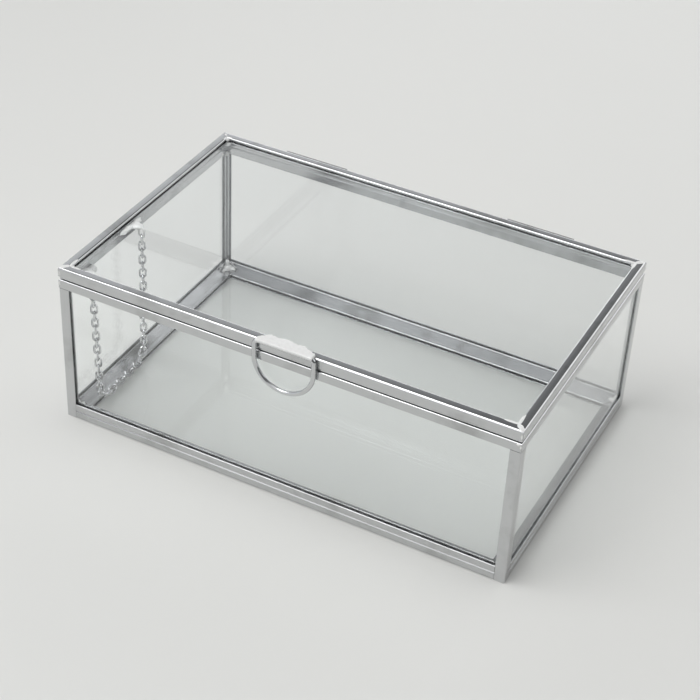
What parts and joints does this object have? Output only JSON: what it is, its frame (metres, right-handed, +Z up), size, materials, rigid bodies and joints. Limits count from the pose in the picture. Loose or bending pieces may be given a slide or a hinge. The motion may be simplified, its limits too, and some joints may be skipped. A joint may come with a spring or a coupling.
{
  "type": "glass jewelry box",
  "caption": "Rectangular clear glass keepsake box in soldered metal channels, with a hinged glass lid, a half-round pull loop and a stay chain inside.",
  "frame": {"origin": "centre of the bounding box in plan, on the surface that the box stands on", "axes": "+X along the long side to the right, +Y to the hinged back, +Z up"},
  "size_m": [0.2, 0.1326, 0.0755],
  "materials": {
    "clear_glass": "clear float glass with seamed edges",
    "channel_metal": "polished nickel plate over folded sheet",
    "loop_metal": "mirror-polished nickel plate",
    "hinge_metal": "nickel plate",
    "solder": "plated soft solder, slightly uneven",
    "chain_metal": "plated round wire links"
  },
  "bodies": {
    "box": {"base_glass": "clear_glass", "front_glass": "clear_glass", "back_glass": "clear_glass", "left_glass": "clear_glass", "right_glass": "clear_glass", "bottom_rail_front": "channel_metal", "bottom_rail_back": "channel_metal", "bottom_rail_left": "channel_metal", "bottom_rail_right": "channel_metal", "post_front_left": "channel_metal", "post_front_right": "channel_metal", "post_back_left": "channel_metal", "post_back_right": "channel_metal", "rim_rail_front": "channel_metal", "rim_rail_back": "channel_metal", "rim_rail_left": "channel_metal", "rim_rail_right": "channel_metal", "hinge_left_box_leaf": "hinge_metal", "hinge_left_pin": "hinge_metal", "hinge_right_box_leaf": "hinge_metal", "hinge_right_pin": "hinge_metal", "chain_eye_rim": "solder"},
    "lid": {"lid_glass": "clear_glass", "lid_rail_front": "channel_metal", "lid_rail_back": "channel_metal", "lid_rail_left": "channel_metal", "lid_rail_right": "channel_metal", "pull_loop": "loop_metal", "hinge_left_lid_leaf": "hinge_metal", "hinge_right_lid_leaf": "hinge_metal", "chain_eye_lid": "solder"},
    "chain_front": {"chain_front_strand": "chain_metal"},
    "chain_bend_front": {"chain_front_bend": "chain_metal"},
    "chain_floor": {"chain_floor_run": "chain_metal"},
    "chain_bend_rear": {"chain_rear_bend": "chain_metal"},
    "chain_rear": {"chain_rear_strand": "chain_metal"}
  },
  "joints": [
    {"name": "lid_hinge", "type": "hinge", "parent": "box", "child": "lid", "pos_m": [0, 0.0648, 0.06875], "axis": [-1, 0, 0], "range_deg": [0, 91.76]},
    {"name": "chain_rim_eye", "type": "hinge", "parent": "box", "child": "chain_front", "pos_m": [-0.091, -0.053, 0.0624], "axis": [1, 0, 0], "range_deg": [0, 127.6]},
    {"name": "chain_front_bend_pivot", "type": "hinge", "parent": "chain_front", "child": "chain_bend_front", "pos_m": [-0.091, -0.053, 0.00952], "axis": [1, 0, 0], "range_deg": [-45.1, 0]},
    {"name": "chain_floor_pivot", "type": "hinge", "parent": "chain_bend_front", "child": "chain_floor", "pos_m": [-0.091, -0.04863, 0.00515], "axis": [1, 0, 0], "range_deg": [-45.1, 0]},
    {"name": "chain_rear_bend_pivot", "type": "hinge", "parent": "chain_floor", "child": "chain_bend_rear", "pos_m": [-0.091, -0.02244, 0.00515], "axis": [1, 0, 0], "range_deg": [-45.1, 0]},
    {"name": "chain_lid_eye", "type": "hinge", "parent": "lid", "child": "chain_rear", "pos_m": [-0.091, -0.01808, 0.06484], "axis": [1, 0, 0], "range_deg": [0, 39.4]}
  ],
  "couplings": [
    {"joint": "chain_rim_eye", "follows": "lid_hinge", "ratio": 1.3893},
    {"joint": "chain_front_bend_pivot", "follows": "lid_hinge", "ratio": -0.49039},
    {"joint": "chain_floor_pivot", "follows": "lid_hinge", "ratio": -0.49039},
    {"joint": "chain_rear_bend_pivot", "follows": "lid_hinge", "ratio": -0.49039},
    {"joint": "chain_lid_eye", "follows": "lid_hinge", "ratio": 0.42775}
  ]
}
